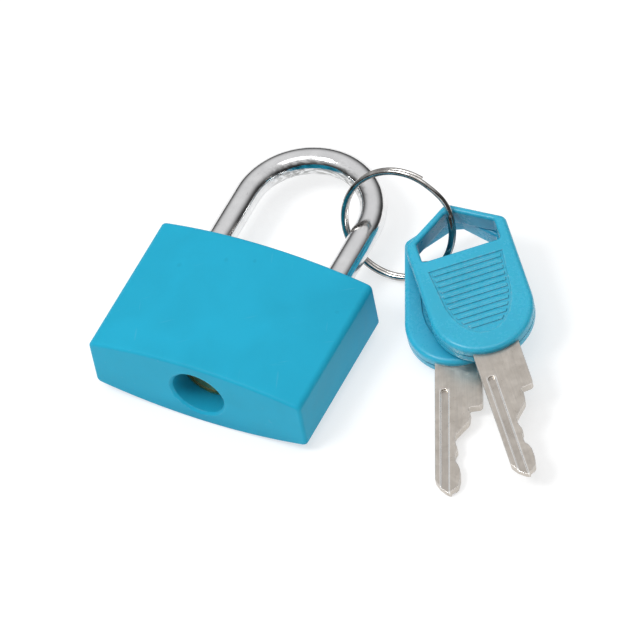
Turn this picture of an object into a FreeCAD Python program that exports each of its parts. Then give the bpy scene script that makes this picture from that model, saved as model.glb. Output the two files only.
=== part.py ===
import FreeCAD, Part
import os
import math
from FreeCAD import Vector as V

# ---------------------------------------------------------------------------
# Small jacketed padlock lying on its back, closed, with its split ring and two
# keys on the shackle.  Millimetres, +Z up out of the front face, +Y from the
# keyway end towards the shackle bow, +X towards the toe leg and the keys.
# ---------------------------------------------------------------------------

# --- frame: lock-centred numbers below are moved so that the origin is the
#     centre of the whole part's footprint on the surface it lies on
SHIFT_X = -17.4197
SHIFT_Y = -24.625

# --- body (jacket and core)
BODY_W = 35.5            # across the two flat sides
BODY_H = 24.9            # keyway end to shackle end
BODY_T_MID = 13.20       # thickness at the middle
BODY_T_SIDE = 9.10       # thickness at the two sides
SIDE_EDGE_R = 1.05       # rounding of the four long edges beside the flat sides
END_EDGE_R = 0.55        # rounding of the outline of both ends
JACKET_T = 1.25          # wall of the moulded jacket
Z_MID = BODY_T_MID / 2   # height of the lock's middle plane

# --- shackle
WIRE_D = 4.2
LEG_X = 10.15            # leg axes at +/- this
BEND_Y = 37.0            # straight legs end here and the half-circle bow starts
TOE_DEPTH = 9.0          # toe leg inside the body
HEEL_END_Y = 4.0         # lower end of the heel leg
LEG_BORE_R = 2.20        # leg bores in the core
LEG_HOLE_R = 2.42        # leg holes in the jacket
LIFT = 10.5              # travel of the shackle from closed to open
HEEL_FLAT = 0.7          # depth of the flat and the neck groove in the heel leg
HEEL_PIN_D = 1.6
HEEL_PIN_Y = 16.5

# --- cylinder
RECESS_R = 4.25          # keyway recess in the bottom face
RECESS_D = 3.9
COLLAR_R = 4.95          # the jacket's lining of the recess
PLUG_R = 3.70
PLUG_BORE_R = 3.76
PLUG_END_Y = 17.6
PIN_D = 1.9
PIN_Y = (5.8, 8.3, 10.8, 13.3)
KEY_PIN_L = (1.70, 3.52, 3.60, 3.70)   # cut to the key's bitting
DRIVER_L = 3.6
KEYWAY_W = 1.75          # across the blade's thickness
KEYWAY_X0 = -2.2         # the keyway is a slot along X; the blade's straight back runs at its X1 end
KEYWAY_X1 = 3.35
CAM_E = 0.8              # eccentricity of the drive peg, half of the bolt's travel
PEG_R = 0.6
BOLT_Y = 20.4            # latch bolt axis
BOLT_R = 1.65
BOLT_BORE_R = 1.72
BOLT_TRAVEL = 1.6

# --- split ring
RING_R = 8.68            # centre line of the wire
RING_WIRE_R = 0.46       # flattened wire, half width across the ring
RING_WIRE_A = 0.34       # and half thickness along the ring's axis
RING_C = V(15.14, 38.28, 8.74)
RING_N = V(0.0900, -0.8890, 0.4490)

# --- keys
HEAD_HW = 7.85           # half width of the head
HEAD_L = 26.97           # apex to the end of the round
HEAD_T = 3.7
KEY_L = 48.58            # apex to blade tip
BLADE_T = 1.45
BLADE_LO = -3.42         # straight back of the blade
BLADE_HI = 3.67
KEY_SHOULDER = 34.18
WIN_HW = 6.1             # half width of the five-sided window
WIN_TOP = 1.5
WIN_END = 8.6
GRIP_U0 = 10.75          # grip field: start, widest place before it rounds, end, half width, depth
GRIP_UC = 15.6
GRIP_U1 = 23.8
GRIP_HW = 5.75
GRIP_D = 0.15
RIBS = 11
RIB_PITCH = 1.06
RIB_W = 0.50
KEY1 = (V(21.68, 44.56, 6.25), -64.80, 6.5, 0.0)       # apex point, heading, nose-down, roll
KEY_STACK_GAP = 0.14
KEY2_APEX_XY = (21.42, 42.46)
KEY2_YAW = -48.80

OUT = "parts"
os.makedirs(OUT, exist_ok=True)
NODES = {}


def box(x0, x1, y0, y1, z0, z1):
    return Part.makeBox(x1 - x0, y1 - y0, z1 - z0, V(x0, y0, z0))


def cyl(p, d, r, h):
    return Part.makeCylinder(r, h, p, d)


def ycyl(x, z, r, y0, y1):
    return cyl(V(x, y0, z), V(0, 1, 0), r, y1 - y0)


def xcyl(y, z, r, x0, x1):
    return cyl(V(x0, y, z), V(1, 0, 0), r, x1 - x0)


def zcyl(x, y, r, z0, z1):
    return cyl(V(x, y, z0), V(0, 0, 1), r, z1 - z0)


def slab(half_w, t_side, t_mid, y0, y1):
    """Body section: two flat sides joined by two shallow arcs, extruded along Y."""
    zs, zm = t_side / 2.0, t_mid / 2.0
    a = V(-half_w, y0, Z_MID - zs)
    b = V(half_w, y0, Z_MID - zs)
    c = V(half_w, y0, Z_MID + zs)
    d = V(-half_w, y0, Z_MID + zs)
    e1 = Part.Arc(a, V(0, y0, Z_MID - zm), b).toShape()
    e2 = Part.LineSegment(b, c).toShape()
    e3 = Part.Arc(c, V(0, y0, Z_MID + zm), d).toShape()
    e4 = Part.LineSegment(d, a).toShape()
    return Part.Face(Part.Wire([e1, e2, e3, e4])).extrude(V(0, y1 - y0, 0))


def add(name, shape):
    if shape.ShapeType != "Solid":
        sol = shape.Solids
        if len(sol) != 1:
            raise RuntimeError("%s has %d solids" % (name, len(sol)))
        shape = sol[0]
    if not shape.isValid():
        raise RuntimeError("%s is not valid" % name)
    NODES[name] = shape


def spring(p, d, r_mid, wire_r, length, turns):
    """Close-ended coil spring along d from p."""
    pitch = length / turns
    hx = Part.makeHelix(pitch, length, r_mid)
    sec = Part.Wire([Part.makeCircle(wire_r, V(r_mid, 0, 0), V(0, 1, 0))])
    s = Part.Wire(hx.Edges).makePipeShell([sec], True, True)
    s.Placement = FreeCAD.Placement(p, FreeCAD.Rotation(V(0, 0, 1), d))
    return s


# --------------------------------------------------------------- body ------
outer = slab(BODY_W / 2, BODY_T_SIDE, BODY_T_MID, 0, BODY_H)
long_edges = [e for e in outer.Edges if e.Curve.TypeId == "Part::GeomLine" and abs(e.tangentAt(e.FirstParameter).y) > 0.99]
outer = outer.makeFillet(SIDE_EDGE_R, long_edges)
end_edges = [e for e in outer.Edges if e.BoundBox.YLength < 1e-6]
outer = outer.makeFillet(END_EDGE_R, end_edges)
core_blank = slab(BODY_W / 2 - JACKET_T, BODY_T_SIDE - 2 * JACKET_T + 0.2, BODY_T_MID - 2 * JACKET_T,
                  JACKET_T, BODY_H - JACKET_T)
core_blank = core_blank.makeFillet(0.5, core_blank.Edges)
core_blank = core_blank.cut(ycyl(0, Z_MID, COLLAR_R, 0, RECESS_D))                # seat of the jacket's lining

jacket = outer.cut(core_blank)
jacket = jacket.cut(ycyl(0, Z_MID, RECESS_R, -1, RECESS_D + 0.5))
for sx in (-1, 1):
    jacket = jacket.cut(ycyl(sx * LEG_X, Z_MID, LEG_HOLE_R, BODY_H - JACKET_T - 0.5, BODY_H + 1))
# small lead-in at the mouth of the recess and of the two leg holes
rim = Part.makeCone(RECESS_R + 0.45, RECESS_R - 0.15, 0.6, V(0, -0.05, Z_MID), V(0, 1, 0))
jacket = jacket.cut(rim)
for sx in (-1, 1):
    lead = Part.makeCone(LEG_HOLE_R - 0.1, LEG_HOLE_R + 0.35, 0.45, V(sx * LEG_X, BODY_H - 0.4, Z_MID), V(0, 1, 0))
    jacket = jacket.cut(lead)
add("cover_jacket", jacket)

core = core_blank.cut(ycyl(0, Z_MID, PLUG_BORE_R, RECESS_D - 0.5, 18.5))
core = core.cut(ycyl(0, Z_MID, 1.7, 18.0, 21.2))                                  # orbit of the drive peg
core = core.cut(ycyl(-LEG_X, Z_MID, LEG_BORE_R, 2.4, BODY_H))                     # heel bore
core = core.cut(ycyl(LEG_X, Z_MID, LEG_BORE_R, BODY_H - TOE_DEPTH - 0.5, BODY_H))  # toe bore
core = core.cut(xcyl(BOLT_Y, Z_MID, BOLT_BORE_R, -4.2, BODY_W / 2 + 1))           # bolt bore, drilled from the toe side
for y in PIN_Y:
    core = core.cut(xcyl(y, Z_MID, PIN_D / 2 + 0.04, 2.0, BODY_W / 2 + 1))        # pin chambers
HEEL_PIN_X = -LEG_X + (WIRE_D / 2 - HEEL_FLAT) + 0.06 + HEEL_PIN_D / 2
core = core.cut(zcyl(HEEL_PIN_X, HEEL_PIN_Y, HEEL_PIN_D / 2, -1, BODY_T_MID + 1))
PLUG_PIN_X, PLUG_PIN_Y, PLUG_PIN_R = -3.74, 15.9, 0.55
core = core.cut(zcyl(PLUG_PIN_X, PLUG_PIN_Y, PLUG_PIN_R, -1, BODY_T_MID + 1))
add("lock_body", core)


def trimmed_rod(shape):
    return shape.common(core_blank)


add("heel_retaining_pin", trimmed_rod(zcyl(HEEL_PIN_X, HEEL_PIN_Y, HEEL_PIN_D / 2, -1, BODY_T_MID + 1)))
add("plug_retaining_pin", trimmed_rod(zcyl(PLUG_PIN_X, PLUG_PIN_Y, PLUG_PIN_R, -1, BODY_T_MID + 1)))
add("bolt_bore_plug", trimmed_rod(xcyl(BOLT_Y, Z_MID, BOLT_BORE_R, LEG_X + LEG_BORE_R + 0.6, BODY_W / 2 + 1)))

# ------------------------------------------------------------ shackle ------
toe_end = BODY_H - TOE_DEPTH
bow_sec = Part.Wire([Part.makeCircle(WIRE_D / 2, V(LEG_X, BEND_Y, Z_MID), V(0, 1, 0))])
bow = Part.Face(bow_sec).revolve(V(0, BEND_Y, Z_MID), V(0, 0, 1), 180)
heel = ycyl(-LEG_X, Z_MID, WIRE_D / 2, HEEL_END_Y, BEND_Y)
heel = heel.makeChamfer(0.35, [e for e in heel.Edges if e.Curve.TypeId == "Part::GeomCircle" and abs(e.CenterOfMass.y - HEEL_END_Y) < 1e-6])
toe = ycyl(LEG_X, Z_MID, WIRE_D / 2, toe_end, BEND_Y)
toe = toe.makeChamfer(0.5, [e for e in toe.Edges if e.Curve.TypeId == "Part::GeomCircle" and abs(e.CenterOfMass.y - toe_end) < 1e-6])
shackle = heel.fuse([toe, bow]).removeSplitter()
flat_lo, flat_hi = HEEL_PIN_Y - LIFT - HEEL_PIN_D / 2 - 0.15, HEEL_PIN_Y + HEEL_PIN_D / 2 + 0.25
xf = -LEG_X + WIRE_D / 2 - HEEL_FLAT
shackle = shackle.cut(box(xf, -LEG_X + 3, flat_lo, flat_hi, Z_MID - 3, Z_MID + 3))
neck = ycyl(-LEG_X, Z_MID, 3, flat_lo, flat_lo + HEEL_PIN_D + 0.35).cut(ycyl(-LEG_X, Z_MID, WIRE_D / 2 - HEEL_FLAT, 0, 30))
shackle = shackle.cut(neck)
shackle = shackle.cut(ycyl(-LEG_X, Z_MID, 0.95, HEEL_END_Y - 1, 12.0))            # spring pocket
NOTCH_Y0, NOTCH_Y1 = BOLT_Y - BOLT_R - 0.25, BOLT_Y + BOLT_R + 0.25
shackle = shackle.cut(box(LEG_X - 3, LEG_X - WIRE_D / 2 + 1.65, NOTCH_Y0, NOTCH_Y1, Z_MID - 3, Z_MID + 3))
add("shackle", shackle)
add("shackle_spring", spring(V(-LEG_X, 2.45 + 0.24, Z_MID), V(0, 1, 0), 0.60, 0.2, 9.0, 9))

# ----------------------------------------------------------- cylinder ------
plug = ycyl(0, Z_MID, PLUG_R, RECESS_D, PLUG_END_Y)
plug = plug.makeChamfer(0.2, [e for e in plug.Edges if e.Curve.TypeId == "Part::GeomCircle" and abs(e.CenterOfMass.y - RECESS_D) < 1e-6])
plug = plug.cut(box(KEYWAY_X0, KEYWAY_X1, RECESS_D - 1, PLUG_END_Y - 1.0, Z_MID - KEYWAY_W / 2, Z_MID + KEYWAY_W / 2))
ward_top = box(1.35, 2.35, RECESS_D, PLUG_END_Y - 1.0, Z_MID + 0.45, Z_MID + KEYWAY_W / 2 + 0.2)
ward_low = box(0.48, 0.88, RECESS_D, PLUG_END_Y - 1.0, Z_MID - KEYWAY_W / 2 - 0.2, Z_MID - 0.5)
plug = plug.fuse([ward_top, ward_low]).removeSplitter()
for y in PIN_Y:
    plug = plug.cut(xcyl(y, Z_MID, PIN_D / 2 + 0.04, -5, 0.75))                    # pin holes, open to the surface
groove = ycyl(0, Z_MID, 5, PLUG_PIN_Y - 0.7, PLUG_PIN_Y + 0.7).cut(ycyl(0, Z_MID, 3.1, 0, 30))
plug = plug.cut(groove)
add("cylinder_plug", plug)

cam = ycyl(0, Z_MID, 2.6, PLUG_END_Y, PLUG_END_Y + 0.7)
peg = ycyl(-CAM_E, Z_MID, PEG_R, PLUG_END_Y + 0.7, BOLT_Y + 0.6)
add("drive_cam", cam.fuse(peg).removeSplitter())

for i, y in enumerate(PIN_Y):
    kl = KEY_PIN_L[i]
    # key pin: domed outer end inside the plug's surface, bevelled inner tip
    x_out = -3.52
    body = xcyl(y, Z_MID, PIN_D / 2, x_out, x_out + kl - 0.45)
    tip = Part.makeCone(PIN_D / 2, 0.35, 0.45, V(x_out + kl - 0.45, y, Z_MID), V(1, 0, 0))
    add("key_pin_%d" % (i + 1), body.fuse(tip).removeSplitter())
    dl = DRIVER_L
    x0 = 3.86
    add("driver_pin_%d" % (i + 1), xcyl(y, Z_MID, PIN_D / 2, x0, x0 + dl))
    xs = x0 + dl + 0.02
    x_plug = 14.2
    add("pin_spring_%d" % (i + 1), spring(V(xs + 0.2, y, Z_MID), V(1, 0, 0), 0.62, 0.17, x_plug - xs - 0.45, 7))
    add("chamber_plug_%d" % (i + 1), trimmed_rod(xcyl(y, Z_MID, PIN_D / 2 + 0.04, x_plug, BODY_W / 2 + 1)))

# --------------------------------------------------------------- bolt ------
BOLT_X0, BOLT_X1 = -2.2, 7.85
bolt = xcyl(BOLT_Y, Z_MID, BOLT_R, BOLT_X0, BOLT_X1)
bolt = bolt.makeChamfer(0.45, [e for e in bolt.Edges if e.Curve.TypeId == "Part::GeomCircle" and abs(e.CenterOfMass.x - BOLT_X1) < 1e-6])
slot_hw = PEG_R + 0.24
bolt = bolt.cut(box(-CAM_E - slot_hw, -CAM_E + slot_hw, BOLT_Y - 3, BOLT_Y + 0.8, Z_MID - 3, Z_MID + 3))
add("latch_bolt", bolt)

# ---------------------------------------------------------- split ring -----
n = V(RING_N).normalize()
ra = (V(1, 0, 0) - n * n.x).normalize()
rb = n.cross(ra)
if rb.z < 0:
    rb = rb * -1
RING_GAP_AT = 47.0      # place of the cross-over and the two wire ends, degrees from ra towards rb
HALF = 22.0             # half angle of the cross-over
LEVEL = RING_WIRE_A + 0.010


def ring_local_to_lock(shape):
    m = FreeCAD.Matrix(ra.x, rb.x, n.x * sgn, RING_C.x,
                       ra.y, rb.y, n.y * sgn, RING_C.y,
                       ra.z, rb.z, n.z * sgn, RING_C.z,
                       0, 0, 0, 1)
    moved = shape.copy()
    moved.transformShape(m, True)
    return moved


sgn = 1.0 if ra.cross(rb).dot(n) > 0 else -1.0


def wire_section(c, t, radial):
    """Ellipse across the ring's section, long way radial."""
    normal = V(t).normalize()
    major = V(radial) - normal * V(radial).dot(normal)
    e = Part.Ellipse(c + major.normalize() * RING_WIRE_R, c + normal.cross(V(major).normalize()) * RING_WIRE_A, c)
    return Part.Wire([e.toShape()])


def ring_pt(deg, level):
    return V(RING_R * math.cos(math.radians(deg)), RING_R * math.sin(math.radians(deg)), level)


def ring_arc(a0, a1, level):
    return Part.Arc(ring_pt(a0, level), ring_pt((a0 + a1) / 2.0, level), ring_pt(a1, level)).toShape()


g = RING_GAP_AT
e0, e1 = g - 360.0 + HALF + 1.5, g - HALF            # lower coil, ends at the cross-over
e2, e3 = g + HALF, g + 360.0 - HALF - 1.5            # upper coil, starts at the cross-over
m0, m1 = (e0 + e1) / 2.0, (e2 + e3) / 2.0
steps = 9
cross_pts = []
for k in range(steps):
    f = k / (steps - 1.0)
    s = f * f * f * (10 - 15 * f + 6 * f * f)
    cross_pts.append(ring_pt(e1 + (e2 - e1) * f, -LEVEL + 2 * LEVEL * s))
cross = Part.BSplineCurve()
t0 = V(-math.sin(math.radians(e1)), math.cos(math.radians(e1)), 0)
t1 = V(-math.sin(math.radians(e2)), math.cos(math.radians(e2)), 0)
cross.interpolate(Points=cross_pts, InitialTangent=t0, FinalTangent=t1)
path = Part.Wire([ring_arc(e0, m0, -LEVEL), ring_arc(m0, e1, -LEVEL), cross.toShape(),
                  ring_arc(e2, m1, LEVEL), ring_arc(m1, e3, LEVEL)])
a0 = math.radians(e0)
sec = wire_section(ring_pt(e0, -LEVEL), V(-math.sin(a0), math.cos(a0), 0), V(math.cos(a0), math.sin(a0), 0))
pipe = Part.BRepOffsetAPI.MakePipeShell(path)
pipe.setBiNormalMode(V(0, 0, 1))
pipe.add(sec)
pipe.build()
pipe.makeSolid()
ring = pipe.shape()
if ring.Volume < 0:
    ring.reverse()
add("split_ring", ring_local_to_lock(ring))


# ---------------------------------------------------------------- keys -----
def poly(pts):
    return [V(a, b, 0) for a, b in pts]


def face_from(edges):
    return Part.Face(Part.Wire(Part.__sortEdges__(edges)))


def head_blank(off, t, hw=HEAD_HW):
    """Five-sided top with a full round end; off shrinks the outline."""
    w = hw - off
    cu = HEAD_L - HEAD_HW
    sh = 5.0
    p0 = V(off * 1.15, -0.5, 0)
    p1 = V(off * 1.15, 0.5, 0)
    pL = V(sh + off * 0.5, -w, 0)
    pR = V(sh + off * 0.5, w, 0)
    qL = V(cu, -w, 0)
    qR = V(cu, w, 0)
    mid = V(cu + w, 0, 0)
    ed = [Part.LineSegment(p0, p1).toShape(), Part.LineSegment(p1, pR).toShape(), Part.LineSegment(pR, qR).toShape(),
          Part.Arc(qR, mid, qL).toShape(), Part.LineSegment(qL, pL).toShape(), Part.LineSegment(pL, p0).toShape()]
    s = Part.Face(Part.Wire(ed)).extrude(V(0, 0, t))
    s.translate(V(0, 0, -t / 2))
    return s


def shield(off, t):
    """Outline of the grip field, wide at the window and rounded towards the blade; off shrinks it."""
    pts = [V(GRIP_U0 + off, -GRIP_HW + off, 0), V(GRIP_U0 + off, GRIP_HW - off, 0)]
    n = 12
    for k in range(n + 1):
        a = math.pi / 2 - math.pi * k / n
        pts.append(V(GRIP_UC + (GRIP_U1 - GRIP_UC - off) * math.cos(a), (GRIP_HW - 0.45 - off) * math.sin(a), 0))
    pts.append(pts[0])
    return Part.Face(Part.makePolygon(pts)).extrude(V(0, 0, t))


def make_head():
    h = head_blank(0.0, HEAD_T)
    vert = [e for e in h.Edges if abs(e.tangentAt(e.FirstParameter).z) > 0.99]
    h = h.makeFillet(1.3, vert)
    rim = [e for e in h.Edges if abs(abs(e.CenterOfMass.z) - HEAD_T / 2) < 1e-6]
    h = h.makeFillet(0.8, rim)
    # fine parting line round the edge
    line = head_blank(-1.0, 0.16).cut(head_blank(0.14, 0.16))
    h = h.cut(line)
    # five-sided window with softened mouths
    win = [(WIN_TOP, -0.7), (WIN_TOP, 0.7), (5.2, WIN_HW), (WIN_END, WIN_HW), (WIN_END, -WIN_HW), (5.2, -WIN_HW), (WIN_TOP, -0.7)]
    w = Part.Face(Part.makePolygon(poly(win))).extrude(V(0, 0, HEAD_T + 2))
    w.translate(V(0, 0, -HEAD_T / 2 - 1))
    w = w.makeFillet(0.55, [e for e in w.Edges if abs(e.tangentAt(e.FirstParameter).z) > 0.99])
    h = h.cut(w)
    z2 = HEAD_T / 2
    mouth = [e for e in h.Edges if abs(abs(e.BoundBox.ZMin) - z2) < 1e-4 and abs(e.BoundBox.ZMax - e.BoundBox.ZMin) < 1e-4
             and e.BoundBox.XMin > WIN_TOP - 0.3 and e.BoundBox.XMax < WIN_END + 0.3 and e.BoundBox.YMax < WIN_HW + 0.1 and e.BoundBox.YMin > -WIN_HW - 0.1]
    h = h.makeFillet(0.5, mouth)
    # moulded grip field on both faces: a shallow shield-shaped pocket with cross ribs in it
    for s in (1, -1):
        z_face = s * HEAD_T / 2
        pocket = shield(0.0, 0.4)
        pocket.translate(V(0, 0, z_face - 0.2))
        bars = []
        for k in range(RIBS):
            u = GRIP_U0 + 0.50 + k * RIB_PITCH
            bars.append(box(u, u + RIB_W, -8, 8, z_face - 0.6, z_face + 0.6))
        inner = shield(0.45, 3.0)
        inner.translate(V(0, 0, z_face - 1.5))
        ribs = Part.makeCompound(bars).common(inner)
        pocket = pocket.cut(ribs)
        pocket = pocket.cut(box(0, 30, -10, 10, min(z_face - s * GRIP_D, z_face - s * 2), max(z_face - s * GRIP_D, z_face - s * 2)))
        for sol in pocket.Solids:
            h = h.cut(sol)
    # open seam beside the blade's back, where the two halves of the moulding meet
    h = h.cut(box(HEAD_L - 1.6, HEAD_L + 1, BLADE_LO - 1.9, BLADE_LO + 0.2, -0.22, 0.22))
    return h


def make_blade():
    s = KEY_SHOULDER
    lo, hi = BLADE_LO, BLADE_HI
    pts = [(18.6, lo), (46.3, lo), (47.4, -2.75), (48.2, -1.9), (KEY_L, -1.3), (48.25, -0.65), (47.55, 0.0), (46.2, 0.30),
           (44.75, 0.28), (43.95, 0.0), (43.4, -0.38), (42.5, -0.48), (42.0, -0.38), (41.45, -0.10), (40.9, -0.12), (40.3, -0.36),
           (39.2, -0.48), (38.7, -0.28), (36.75, 1.52), (36.2, 1.74), (35.2, 1.86), (34.6, 1.62), (34.35, 1.66), (s, 1.95),
           (s - 0.1, 3.3), (s - 0.45, 3.62), (s - 0.9, hi), (24.2, hi), (23.4, 2.4), (18.6, 2.4), (18.6, lo)]
    b = Part.Face(Part.makePolygon(poly(pts))).extrude(V(0, 0, BLADE_T))
    b.translate(V(0, 0, -BLADE_T / 2))
    # milled ward groove on each side
    b = b.cut(box(31.3, KEY_L + 1, lo + 0.85, lo + 2.05, BLADE_T / 2 - 0.45, BLADE_T))
    b = b.cut(cyl(V(31.3, lo + 1.45, BLADE_T / 2 - 0.45), V(0, 0, 1), 0.6, 2))
    b = b.cut(box(31.3, KEY_L + 1, lo + 2.35, lo + 2.9, -BLADE_T, -BLADE_T / 2 + 0.4))
    # lock hole inside the moulding
    b = b.cut(cyl(V(21.2, -0.5, -3), V(0, 0, 1), 1.1, 6))
    return b


def key_frame(yaw, pitch, roll):
    y, p, r = math.radians(yaw), math.radians(pitch), math.radians(roll)
    u = V(math.cos(y) * math.cos(p), math.sin(y) * math.cos(p), -math.sin(p))
    v0 = V(-math.sin(y), math.cos(y), 0)
    w0 = u.cross(v0)
    v = v0 * math.cos(r) + w0 * math.sin(r)
    return u, v, u.cross(v)


def place(shape, origin, u, v, w):
    m = FreeCAD.Matrix(u.x, v.x, w.x, origin.x, u.y, v.y, w.y, origin.y, u.z, v.z, w.z, origin.z, 0, 0, 0, 1)
    moved = shape.copy()
    moved.transformShape(m, True)
    return moved


blade = make_blade()
head = make_head().cut(blade)
o1, yaw1, pit1, rol1 = KEY1
u1, v1, w1 = key_frame(yaw1, pit1, rol1)
# the second key lies flat on the first: same plane normal, turned in that plane
hx2 = V(math.cos(math.radians(KEY2_YAW)), math.sin(math.radians(KEY2_YAW)), 0)
u2 = (hx2 - w1 * hx2.dot(w1))
u2 = V(hx2.x, hx2.y, -(w1.x * hx2.x + w1.y * hx2.y) / w1.z).normalize()
v2 = w1.cross(u2)
base = o1 + w1 * (HEAD_T + KEY_STACK_GAP)
x2, y2 = KEY2_APEX_XY
o2 = V(x2, y2, base.z - (w1.x * (x2 - base.x) + w1.y * (y2 - base.y)) / w1.z)
for k, (o, u, v) in enumerate(((o1, u1, v1), (o2, u2, v2))):
    add("key_%d_head" % (k + 1), place(head, o, u, v, w1))
    add("key_%d_blade" % (k + 1), place(blade, o, u, v, w1))

# -------------------------------------------------------------- export -----
shift = V(SHIFT_X, SHIFT_Y, 0)
lo = V(1e9, 1e9, 1e9)
hi = V(-1e9, -1e9, -1e9)
for name, s in NODES.items():
    s = s.copy()
    s.translate(shift)
    s.exportStep(os.path.join(OUT, name + ".step"))
    bb = s.optimalBoundingBox(True, False)
    lo = V(min(lo.x, bb.XMin), min(lo.y, bb.YMin), min(lo.z, bb.ZMin))
    hi = V(max(hi.x, bb.XMax), max(hi.y, bb.YMax), max(hi.z, bb.ZMax))
    print("%-20s vol %9.3f  x %.2f..%.2f  y %.2f..%.2f  z %.2f..%.2f" % (name, s.Volume, bb.XMin, bb.XMax, bb.YMin, bb.YMax, bb.ZMin, bb.ZMax))
print("box", lo, hi, "centre", (lo.x + hi.x) / 2, (lo.y + hi.y) / 2)
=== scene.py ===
import bpy
import math
from mathutils import Matrix, Vector


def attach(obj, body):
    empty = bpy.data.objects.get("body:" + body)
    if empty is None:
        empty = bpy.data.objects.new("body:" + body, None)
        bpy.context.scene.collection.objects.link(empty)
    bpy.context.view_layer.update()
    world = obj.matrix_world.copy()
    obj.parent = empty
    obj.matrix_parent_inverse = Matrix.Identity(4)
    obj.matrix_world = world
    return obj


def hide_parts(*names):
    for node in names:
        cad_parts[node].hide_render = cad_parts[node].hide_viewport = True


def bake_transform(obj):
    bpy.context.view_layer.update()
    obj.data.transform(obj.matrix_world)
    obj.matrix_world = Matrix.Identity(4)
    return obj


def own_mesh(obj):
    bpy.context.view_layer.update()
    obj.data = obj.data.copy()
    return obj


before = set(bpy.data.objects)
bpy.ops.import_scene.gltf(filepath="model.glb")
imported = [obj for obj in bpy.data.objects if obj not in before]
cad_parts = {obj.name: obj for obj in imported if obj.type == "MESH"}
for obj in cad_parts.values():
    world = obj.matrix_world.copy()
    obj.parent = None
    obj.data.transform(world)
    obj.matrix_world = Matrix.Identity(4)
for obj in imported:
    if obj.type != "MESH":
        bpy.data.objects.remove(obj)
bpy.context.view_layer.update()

MM = 0.001
SHIFT = Vector((-17.4197, -24.625, 0.0))     # lock-centred millimetres to the row frame, as in the CAD

# ---------------------------------------------------------------- camera ---
right = Vector((0.888302, 0.439537, -0.133139))
up = Vector((-0.272798, 0.738204, 0.616958))
back = Vector((0.36946, -0.511725, 0.775653))
right.normalize()
back = right.cross(up).normalized()
up = back.cross(right).normalized()
t = Vector((-17.3702, -15.2098, -1371.379))
loc = -(right * t.x + up * t.y + back * t.z) + SHIFT
cam_data = bpy.data.cameras.new("camera")
cam_data.sensor_width = 36.0
cam_data.lens = 9201.2 * 36.0 / 640.0
cam_data.clip_start = 0.05
cam_data.clip_end = 20.0
cam = bpy.data.objects.new("camera", cam_data)
m = Matrix.Identity(4)
for r in range(3):
    m[r][0], m[r][1], m[r][2] = right[r], up[r], back[r]
    m[r][3] = loc[r] * MM
cam.matrix_world = m
bpy.context.scene.collection.objects.link(cam)
bpy.context.scene.camera = cam
bpy.context.scene.view_settings.view_transform = "Standard"

# ------------------------------------------------------- shader helpers ----


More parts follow.
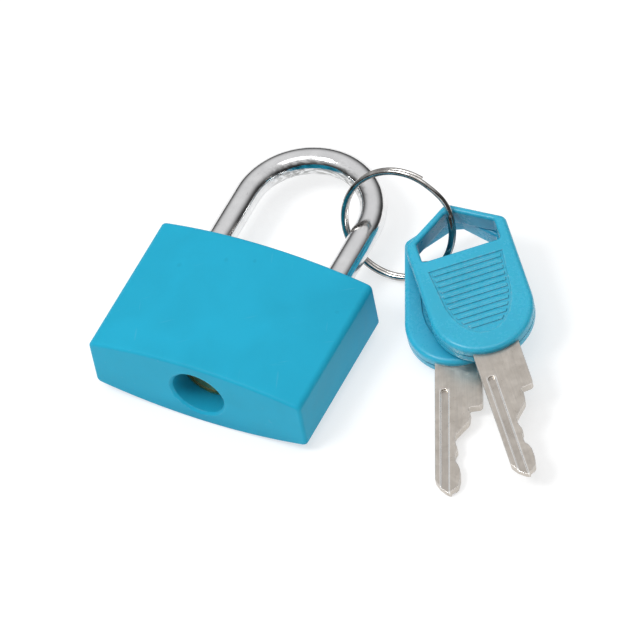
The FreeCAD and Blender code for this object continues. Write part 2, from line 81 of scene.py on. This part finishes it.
class Mat:
    """A Principled material with small helpers for procedural networks."""

    def __init__(self, name):
        self.m = bpy.data.materials.new(name)
        self.m.use_nodes = True
        self.t = self.m.node_tree
        self.b = self.t.nodes["Principled BSDF"]
        self.obj = self.t.nodes.new("ShaderNodeTexCoord").outputs["Object"]
        self.heights = []

    def node(self, kind, **props):
        n = self.t.nodes.new(kind)
        for k, v in props.items():
            setattr(n, k, v)
        return n

    def put(self, sock, value):
        if isinstance(value, bpy.types.NodeSocket):
            self.t.links.new(value, sock)
        else:
            sock.default_value = value

    def const(self, **values):
        for k, v in values.items():
            self.b.inputs[k.replace("_", " ")].default_value = v

    def coords(self, scale=(1000.0, 1000.0, 1000.0), rot=(0.0, 0.0, 0.0), loc=(0.0, 0.0, 0.0)):
        n = self.node("ShaderNodeMapping", vector_type="TEXTURE")
        # texture mapping: rotate into the piece's own directions, then scale to millimetres
        self.put(n.inputs["Vector"], self.obj)
        n.inputs["Rotation"].default_value = rot
        n.inputs["Location"].default_value = loc
        n.inputs["Scale"].default_value = tuple(1.0 / s for s in scale)
        return n.outputs["Vector"]

    def noise(self, vec, scale, detail=2.0, rough=0.5, distort=0.0):
        n = self.node("ShaderNodeTexNoise")
        self.put(n.inputs["Vector"], vec)
        n.inputs["Scale"].default_value = scale
        n.inputs["Detail"].default_value = detail
        n.inputs["Roughness"].default_value = rough
        n.inputs["Distortion"].default_value = distort
        return n.outputs["Fac"]

    def voronoi(self, vec, scale, feature="F1", out="Distance", rnd=1.0):
        n = self.node("ShaderNodeTexVoronoi", feature=feature)
        self.put(n.inputs["Vector"], vec)
        n.inputs["Scale"].default_value = scale
        n.inputs["Randomness"].default_value = rnd
        return n.outputs[out]

    def ramp(self, fac, a, b, lo=0.0, hi=1.0):
        n = self.node("ShaderNodeMapRange", clamp=True)
        self.put(n.inputs["Value"], fac)
        n.inputs["From Min"].default_value = a
        n.inputs["From Max"].default_value = b
        n.inputs["To Min"].default_value = lo
        n.inputs["To Max"].default_value = hi
        return n.outputs["Result"]

    def math(self, op, a, b=None, c=None, clamp=False):
        n = self.node("ShaderNodeMath", operation=op, use_clamp=clamp)
        for i, v in enumerate((a, b, c)):
            if v is not None:
                self.put(n.inputs[i], v)
        return n.outputs[0]

    def mix(self, fac, a, b, blend="MIX"):
        n = self.node("ShaderNodeMix", data_type="RGBA", blend_type=blend)
        self.put(n.inputs[0], fac)
        for i, v in ((6, a), (7, b)):
            if isinstance(v, (tuple, list)) and len(v) == 3:
                v = (*v, 1.0)
            self.put(n.inputs[i], v)
        return n.outputs[2]

    def xyz(self, vec):
        n = self.node("ShaderNodeSeparateXYZ")
        self.put(n.inputs[0], vec)
        return n.outputs

    def edge(self, radius_mm):
        """0 on flats, towards 1 on convex edges: how far the rounded normal leaves the true one."""
        bev = self.node("ShaderNodeBevel", samples=6)
        bev.inputs["Radius"].default_value = radius_mm * MM
        geo = self.node("ShaderNodeNewGeometry")
        dot = self.node("ShaderNodeVectorMath", operation="DOT_PRODUCT")
        self.put(dot.inputs[0], bev.outputs[0])
        self.put(dot.inputs[1], geo.outputs["Normal"])
        return self.math("SUBTRACT", 1.0, dot.outputs["Value"], clamp=True)

    def soften(self, radius_mm):
        """Shading normal rounded over the edges, under any bump added later."""
        bev = self.node("ShaderNodeBevel", samples=8)
        bev.inputs["Radius"].default_value = radius_mm * MM
        self.heights.append(bev.outputs[0])

    def bump(self, height, dist_mm, strength=1.0):
        n = self.node("ShaderNodeBump")
        self.put(n.inputs["Height"], height)
        n.inputs["Distance"].default_value = dist_mm * MM
        n.inputs["Strength"].default_value = strength
        if self.heights:
            self.put(n.inputs["Normal"], self.heights[-1])
        self.heights.append(n.outputs["Normal"])
        return n.outputs["Normal"]

    def done(self, color=None, rough=None):
        if color is not None:
            self.put(self.b.inputs["Base Color"], color)
        if rough is not None:
            self.put(self.b.inputs["Roughness"], rough)
        if self.heights:
            self.put(self.b.inputs["Normal"], self.heights[-1])
        return self.m


def lin(r, g, b):
    f = lambda c: c / 12.92 if c <= 0.04045 else ((c + 0.055) / 1.055) ** 2.4
    return (f(r / 255.0), f(g / 255.0), f(b / 255.0))


def scaled(c, k):
    return tuple(min(1.0, v * k) for v in c)


# ------------------------------------------------------------- materials ---
def plastic(name, base, marks=(), rough0=0.36, soft=0.3, spec=0.22, sss=0.12, ior=1.30, ribs=(), rub_and_highlight=0.45):
    """Moulded coloured plastic: faint flow mottling, satin skin, rubbed edges with a painted highlight, painted
    shade in hollows and rib valleys, a few hairline scuffs.
    """
    M = Mat(name)
    c = M.coords()
    M.const(IOR=ior, Metallic=0.0, Specular_IOR_Level=spec)
    M.b.inputs["Subsurface Weight"].default_value = sss
    M.b.inputs["Subsurface Radius"].default_value = (0.25, 0.8, 1.0)
    M.b.inputs["Subsurface Scale"].default_value = 0.0007
    broad = M.noise(c, 0.11, 2.0, 0.5, 0.6)
    fine = M.noise(c, 1.7, 3.0, 0.6)
    col = M.mix(M.ramp(broad, 0.3, 0.7), scaled(base, 0.955), scaled(base, 1.045))
    col = M.mix(M.math("MULTIPLY", M.ramp(fine, 0.35, 0.75), 0.10), col, scaled(base, 1.16))
    # rubbed, slightly chalky edges, broken up by noise, partly a painted highlight: a lighter line along the edges
    e = M.edge(0.55)
    edge_wear_and_highlight = M.math("MULTIPLY", M.ramp(e, 0.015, 0.16), M.ramp(M.noise(c, 0.9, 3.0, 0.65), 0.38, 0.72))
    pale_wear_and_highlight = tuple(0.55 * v + 0.45 * w for v, w in zip(base, (0.62, 0.82, 0.90)))
    col = M.mix(M.math("MULTIPLY", edge_wear_and_highlight, rub_and_highlight), col, pale_wear_and_highlight)
    # painted shade where the plastic is shut in: windows, grooves, between the two heads
    ao = M.node("ShaderNodeAmbientOcclusion", samples=8)
    ao.inputs["Distance"].default_value = 0.005
    painted_shut_in_shade = M.ramp(ao.outputs["AO"], 0.30, 0.97, 0.70, 0.0)
    col = M.mix(painted_shut_in_shade, col, (base[0] * 0.22, base[1] * 0.50, base[2] * 0.58))
    # hairline scuffs: thin stretched noise, few and faint
    s1 = M.coords(scale=(160.0, 2600.0, 1500.0), rot=(0.0, 0.0, 0.62))
    s2 = M.coords(scale=(2300.0, 170.0, 1500.0), rot=(0.0, 0.0, 0.35))
    scuff = M.math("MAXIMUM", M.ramp(M.noise(s1, 0.9, 1.0), 0.735, 0.80), M.ramp(M.noise(s2, 0.9, 1.0), 0.74, 0.80))
    col = M.mix(M.math("MULTIPLY", scuff, 0.07), col, pale_wear_and_highlight)
    rough = M.math("ADD", M.ramp(broad, 0.25, 0.75, rough0 - 0.03, rough0 + 0.05), M.math("MULTIPLY", edge_wear_and_highlight, -0.05))
    rough = M.math("ADD", rough, M.ramp(fine, 0.3, 0.8, 0.0, 0.06))
    # skin: fine moulded grain over a very shallow long wave
    M.soften(soft)
    for origin, rot in ribs[-1:]:
        # the ribs of the thumb grip are rounded off: a soft wave over the cut ones
        u, v, w = M.xyz(M.coords(rot=rot, loc=tuple(a * MM for a in origin)))
        span = M.math("MULTIPLY", M.ramp(u, 10.6, 11.2), M.ramp(u, 22.2, 23.4, 1.0, 0.0))
        halfw = M.ramp(u, 15.6, 23.8, 5.6, 1.2)
        span = M.math("MULTIPLY", span, M.ramp(M.math("SUBTRACT", halfw, M.math("ABSOLUTE", v)), 0.0, 0.5))
        span = M.math("MULTIPLY", span, M.ramp(w, 1.4, 1.5))
        wave = M.math("SINE", M.math("MULTIPLY", M.math("SUBTRACT", u, GRIP_U), 2.0 * math.pi / 1.06))
        M.bump(M.math("MULTIPLY", wave, span), 0.07, 0.8)
        # painted shade in the valleys between the grip ribs
        col = M.mix(M.math("MULTIPLY", span, M.ramp(wave, -1.0, 0.2, 0.16, 0.0)), col, scaled(base, 0.70))
    M.bump(M.noise(c, 0.16, 1.0), 0.10, 0.55)
    M.bump(M.noise(c, 7.0, 3.0, 0.6), 0.006, 0.6)
    M.bump(scuff, 0.004, 0.5)
    if marks:
        x, y, z = M.xyz(c)
        top = M.ramp(z, 9.0, 9.6)
        total = None
        for mx, my, mr, deep in marks:
            dx = M.math("SUBTRACT", x, mx)
            dy = M.math("SUBTRACT", y, my)
            d = M.math("SQRT", M.math("ADD", M.math("MULTIPLY", dx, dx), M.math("MULTIPLY", dy, dy)))
            ringy = M.math("MULTIPLY", M.ramp(d, mr * 0.35, mr, 1.0, 0.0), deep)
            total = ringy if total is None else M.math("ADD", total, ringy)
        total = M.math("MULTIPLY", total, top)
        M.bump(total, -0.05, 1.0)
        col = M.mix(M.math("MULTIPLY", total, 0.35), col, scaled(base, 0.72))
    return M.done(col, rough)


def chrome(name):
    """Bright chrome plate on drawn wire: faint draw lines, soft ripple, rubbed haze, a painted dark reflection
    inside the bow, a few pits.
    """
    M = Mat(name)
    c = M.coords()
    M.const(Metallic=1.0)
    haze = M.noise(c, 0.35, 3.0, 0.6, 0.4)
    draw = M.noise(M.coords(scale=(2600.0, 120.0, 2600.0)), 1.6, 2.0)
    col = M.mix(M.ramp(haze, 0.3, 0.72), (0.74, 0.74, 0.745), (0.84, 0.84, 0.84))
    x, y, z = M.xyz(c)
    # painted reflection: dark streaky bands on the inside of the bow
    dx = M.math("SUBTRACT", x, SHIFT.x)
    dy = M.math("SUBTRACT", y, 37.0 + SHIFT.y)
    rad = M.math("SQRT", M.math("ADD", M.math("MULTIPLY", dx, dx), M.math("MULTIPLY", dy, dy)))
    painted_bow_reflection = M.math("MULTIPLY", M.ramp(rad, 8.5, 9.6, 1.0, 0.0), M.ramp(dy, 2.0, 6.0))
    painted_bow_reflection = M.math("MULTIPLY", painted_bow_reflection, M.ramp(M.noise(M.coords(scale=(420.0, 1900.0, 2600.0)), 0.9, 3.0, 0.65), 0.40, 0.58))
    col = M.mix(M.math("MULTIPLY", painted_bow_reflection, 0.72), col, (0.16, 0.16, 0.15))
    pits = M.ramp(M.voronoi(c, 0.8), 0.035, 0.075, 1.0, 0.0)
    col = M.mix(M.math("MULTIPLY", pits, 0.55), col, (0.20, 0.18, 0.16))
    rough = M.math("ADD", M.ramp(haze, 0.3, 0.75, 0.06, 0.15), M.ramp(draw, 0.3, 0.8, 0.0, 0.06))
    rough = M.math("ADD", rough, M.math("MULTIPLY", pits, 0.3))
    M.bump(M.noise(c, 0.42, 2.0), 0.035, 0.5)
    M.bump(draw, 0.0025, 0.5)
    M.bump(pits, -0.01, 0.6)
    return M.done(col, rough)


def nickel(name, origin, rot):
    """Stamped, nickel-plated blade: lengthwise drawing lines, milled groove with painted shade on its floor and
    painted highlights on its lips, painted edge highlights, dull freckles.
    """
    M = Mat(name)
    c = M.coords()
    M.const(Metallic=1.0)
    u, v, w = M.xyz(M.coords(rot=rot, loc=tuple(a * MM for a in origin)))
    along = M.noise(M.coords(scale=(260.0, 5200.0, 5200.0), rot=rot), 1.0, 3.0, 0.6)
    cloud = M.noise(c, 0.55, 3.0, 0.6, 0.5)
    col = M.mix(M.ramp(cloud, 0.3, 0.72), (0.52, 0.475, 0.42), (0.65, 0.60, 0.54))
    col = M.mix(M.math("MULTIPLY", M.ramp(along, 0.35, 0.7), 0.34), col, (0.40, 0.37, 0.345))
    freckle = M.ramp(M.voronoi(c, 1.15), 0.05, 0.11, 1.0, 0.0)
    col = M.mix(M.math("MULTIPLY", freckle, 0.35), col, (0.28, 0.25, 0.22))
    # the milled side groove: painted shade on its floor, painted highlight on its lips
    live = M.math("MULTIPLY", M.ramp(u, GROOVE_U0 - 0.2, GROOVE_U0 + 0.5), M.ramp(w, 0.0, 0.15))
    mid = M.math("ABSOLUTE", M.math("SUBTRACT", v, 0.5 * (GROOVE_V0 + GROOVE_V1)))
    half = 0.5 * (GROOVE_V1 - GROOVE_V0)
    painted_groove_shade = M.math("MULTIPLY", M.ramp(mid, half - 0.22, half - 0.04, 1.0, 0.0), live)
    painted_lip_highlight = M.math("MULTIPLY", M.ramp(M.math("ABSOLUTE", M.math("SUBTRACT", mid, half + 0.03)), 0.05, 0.19, 1.0, 0.0), live)
    col = M.mix(M.math("MULTIPLY", painted_groove_shade, 0.22), col, (0.34, 0.31, 0.28))
    col = M.mix(M.math("MULTIPLY", painted_lip_highlight, 0.8), col, (0.93, 0.92, 0.90))
    # painted highlight along the blade's edges
    e = M.ramp(M.edge(0.22), 0.02, 0.22)
    col = M.mix(M.math("MULTIPLY", e, 0.75), col, (0.90, 0.885, 0.87))
    rough = M.math("ADD", M.ramp(cloud, 0.3, 0.75, 0.25, 0.35), M.ramp(along, 0.3, 0.75, 0.0, 0.08))
    rough = M.math("SUBTRACT", rough, M.math("MULTIPLY", M.math("MAXIMUM", e, painted_lip_highlight), 0.10))
    M.soften(0.12)
    M.bump(along, 0.004, 0.6)
    M.bump(M.noise(c, 0.8, 2.0), 0.02, 0.35)
    return M.done(col, rough)


def wire(name, dark, light, rough_lo=0.16, rough_hi=0.30):
    """Hard drawn wire: tight streaks, darker handling marks."""
    M = Mat(name)
    c = M.coords()
    M.const(Metallic=1.0)
    blotch = M.noise(c, 0.6, 3.0, 0.6)
    tight = M.noise(c, 9.0, 2.0, 0.5)
    col = M.mix(M.ramp(blotch, 0.32, 0.70), dark, light)
    col = M.mix(M.math("MULTIPLY", M.ramp(tight, 0.45, 0.75), 0.25), col, scaled(dark, 0.8))
    e = M.ramp(M.edge(0.08), 0.03, 0.3)
    col = M.mix(M.math("MULTIPLY", e, 0.4), col, scaled(light, 1.2))
    rough = M.math("ADD", M.ramp(blotch, 0.3, 0.75, rough_lo, rough_hi), M.ramp(tight, 0.4, 0.8, 0.0, 0.08))
    M.bump(tight, 0.003, 0.5)
    return M.done(col, rough)


def turned(name, dark, light, centre=None, rough0=0.26, edge_tint=None):
    """Turned and drilled metal: tool rings about the lock's axis, tarnish clouds, brighter edges."""
    M = Mat(name)
    c = M.coords()
    M.const(Metallic=1.0)
    cx, cz = centre if centre else (SHIFT.x, 6.6)
    x, y, z = M.xyz(c)
    dx = M.math("SUBTRACT", x, cx)
    dz = M.math("SUBTRACT", z, cz)
    rad = M.math("SQRT", M.math("ADD", M.math("MULTIPLY", dx, dx), M.math("MULTIPLY", dz, dz)))
    comb = M.node("ShaderNodeCombineXYZ")
    M.put(comb.inputs[0], M.math("MULTIPLY", rad, 9.0))
    M.put(comb.inputs[1], M.math("MULTIPLY", y, 7.0))
    comb.inputs[2].default_value = 0.0
    rings = M.noise(comb.outputs[0], 1.0, 2.0, 0.6)
    cloud = M.noise(c, 0.7, 3.0, 0.6, 0.5)
    col = M.mix(M.ramp(cloud, 0.3, 0.72), dark, light)
    col = M.mix(M.math("MULTIPLY", M.ramp(rings, 0.4, 0.75), 0.3), col, scaled(dark, 0.75))
    e = M.ramp(M.edge(0.18), 0.02, 0.25)
    col = M.mix(M.math("MULTIPLY", e, 0.5), col, edge_tint or scaled(light, 1.2))
    rough = M.math("ADD", M.ramp(cloud, 0.3, 0.75, rough0, rough0 + 0.14), M.ramp(rings, 0.3, 0.8, 0.0, 0.10))
    M.bump(rings, 0.006, 0.6)
    return M.done(col, rough)


def key_axes():
    """Origin (mm, row frame) and Euler turn of each key: along, across, and through its plane."""
    y, p, y2 = math.radians(-64.8), math.radians(6.5), math.radians(KEY2_YAW)
    u1 = Vector((math.cos(y) * math.cos(p), math.sin(y) * math.cos(p), -math.sin(p)))
    v1 = Vector((-math.sin(y), math.cos(y), 0.0))
    w1 = u1.cross(v1)
    o1 = Vector(KEY1_APEX)
    u2 = Vector((math.cos(y2), math.sin(y2), 0.0))
    u2.z = -(w1.x * u2.x + w1.y * u2.y) / w1.z
    u2.normalize()
    v2 = w1.cross(u2)
    base = o1 + w1 * 3.84
    x2, y2 = KEY2_APEX
    o2 = Vector((x2, y2, base.z - (w1.x * (x2 - base.x) + w1.y * (y2 - base.y)) / w1.z))
    out = []
    for o, u, v in ((o1, u1, v1), (o2, u2, v2)):
        rot = Matrix((u, v, w1)).transposed().to_euler("XYZ")
        out.append((tuple(o + SHIFT), tuple(rot)))
    return out


KEY1_APEX = (21.68, 44.56, 6.25)
KEY2_APEX = (21.42, 42.46)
KEY2_YAW = -48.8
GROOVE_U0, GROOVE_V0, GROOVE_V1 = 30.7, -2.57, -1.37
GRIP_U = 10.75
KEYS = key_axes()
BLUE_BODY = lin(38, 172, 206)
BLUE_KEY = lin(55, 180, 211)
S = SHIFT
marks = [(-10.85 + S.x, 17.4 + S.y, 0.55, 0.8), (-4.25 + S.x, 20.3 + S.y, 0.45, 0.9),
         (0.0 + S.x, 21.5 + S.y, 0.4, 0.7), (15.3 + S.x, 18.1 + S.y, 0.45, 0.5)]
mats = {
    "jacket": plastic("jacket_skin", BLUE_BODY, marks),
    "key_plastic": plastic("key_head_skin", BLUE_KEY, rough0=0.24, soft=0.20, spec=0.9, sss=0.35, ior=1.30, ribs=KEYS, rub_and_highlight=0.85),
    "chrome": chrome("shackle_chrome"),
    "blade_1": nickel("blade_1_nickel", *KEYS[0]),
    "blade_2": nickel("blade_2_nickel", *KEYS[1]),
    "ring": wire("ring_wire", (0.30, 0.285, 0.27), (0.60, 0.58, 0.56), 0.09, 0.18),
    "spring": wire("spring_wire", (0.32, 0.31, 0.30), (0.50, 0.49, 0.47), 0.22, 0.36),
    "brass": turned("turned_brass", (0.55, 0.36, 0.14), (0.80, 0.58, 0.27)),
    "steel": turned("turned_steel", (0.42, 0.42, 0.42), (0.62, 0.61, 0.60)),
}

for name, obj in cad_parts.items():
    if name == "cover_jacket":
        k = "jacket"
    elif name in ("key_1_head", "key_2_head"):
        k = "key_plastic"
    elif name == "key_1_blade":
        k = "blade_1"
    elif name == "key_2_blade":
        k = "blade_2"
    elif name == "shackle":
        k = "chrome"
    elif name == "split_ring":
        k = "ring"
    elif "spring" in name:
        k = "spring"
    elif name in ("drive_cam", "latch_bolt", "heel_retaining_pin", "plug_retaining_pin") or name.startswith("driver_pin"):
        k = "steel"
    else:
        k = "brass"
    for s in obj.material_slots:
        s.material = mats[k]

# ---------------------------------------------------------------- springs ---
# each coil is a copy of its CAD part with the spring wire material, the part hidden: the pin springs follow the
# body, the shackle spring stays fixed


def coil(node):
    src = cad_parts[node]
    bpy.context.view_layer.update()
    o = bpy.data.objects.new(node + "_coil", src.data.copy())
    bpy.context.scene.collection.objects.link(o)
    o.matrix_world = src.matrix_world.copy()
    o.data.materials.clear()
    o.data.materials.append(mats["spring"])
    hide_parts(node)
    return o


for i, y in enumerate((5.8, 8.3, 10.8, 13.3)):
    o = coil("pin_spring_%d" % (i + 1))
    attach(o, "body")
    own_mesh(o)
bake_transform(coil("shackle_spring"))

# ------------------------------------------------------- floor and light ---
floor_mesh = bpy.data.meshes.new("floor")
L = 1.6
floor_mesh.from_pydata([(-L, -L, 0), (L, -L, 0), (L, L, 0), (-L, L, 0)], [], [(0, 1, 2, 3)])
floor = bpy.data.objects.new("floor", floor_mesh)
floor.location.z = -0.00003
bpy.context.scene.collection.objects.link(floor)
fm = bpy.data.materials.new("floor_white")
fm.use_nodes = True
fb = fm.node_tree.nodes["Principled BSDF"]
fb.inputs["Base Color"].default_value = (0.50, 0.50, 0.50, 1.0)
fb.inputs["Roughness"].default_value = 0.9
fb.inputs["Specular IOR Level"].default_value = 0.0
fb.inputs["Emission Color"].default_value = (1.0, 1.0, 1.0, 1.0)
fb.inputs["Emission Strength"].default_value = 0.60
floor_mesh.materials.append(fm)

world = bpy.data.worlds.new("studio")
bpy.context.scene.world = world
world.use_nodes = True
wt = world.node_tree
bg = wt.nodes["Background"]
bg.inputs["Color"].default_value = (0.99, 0.99, 1.0, 1.0)
# a pale studio: bright ceiling, dimmer walls, a little darker on the toe-leg side
direction = wt.nodes.new("ShaderNodeTexCoord").outputs["Generated"]
dot = wt.nodes.new("ShaderNodeVectorMath")
dot.operation = "DOT_PRODUCT"
wt.links.new(direction, dot.inputs[0])
dot.inputs[1].default_value = (-0.13, 0.06, 0.985)
fall = wt.nodes.new("ShaderNodeMapRange")
fall.interpolation_type = "SMOOTHSTEP"
wt.links.new(dot.outputs["Value"], fall.inputs["Value"])
fall.inputs["From Min"].default_value = 0.18
fall.inputs["From Max"].default_value = 0.84
fall.inputs["To Min"].default_value = 0.05
fall.inputs["To Max"].default_value = 0.80
wt.links.new(fall.outputs["Result"], bg.inputs["Strength"])


def softbox(name, where, size, energy, color=(1, 1, 1), aim=(0.0, 0.0, 0.006), size_y=None):
    ld = bpy.data.lights.new(name, "AREA")
    ld.shape = "RECTANGLE"
    ld.size = size
    ld.size_y = size_y or size
    ld.energy = energy
    ld.color = color
    o = bpy.data.objects.new(name, ld)
    o.location = where
    d = Vector(aim) - Vector(where)
    o.rotation_euler = d.to_track_quat("-Z", "Y").to_euler()
    bpy.context.scene.collection.objects.link(o)
    return o


softbox("key_softbox", (-0.22, -0.34, 0.70), 0.24, 2.5)
softbox("top_softbox", (0.12, -0.16, 0.90), 0.40, 1.0)
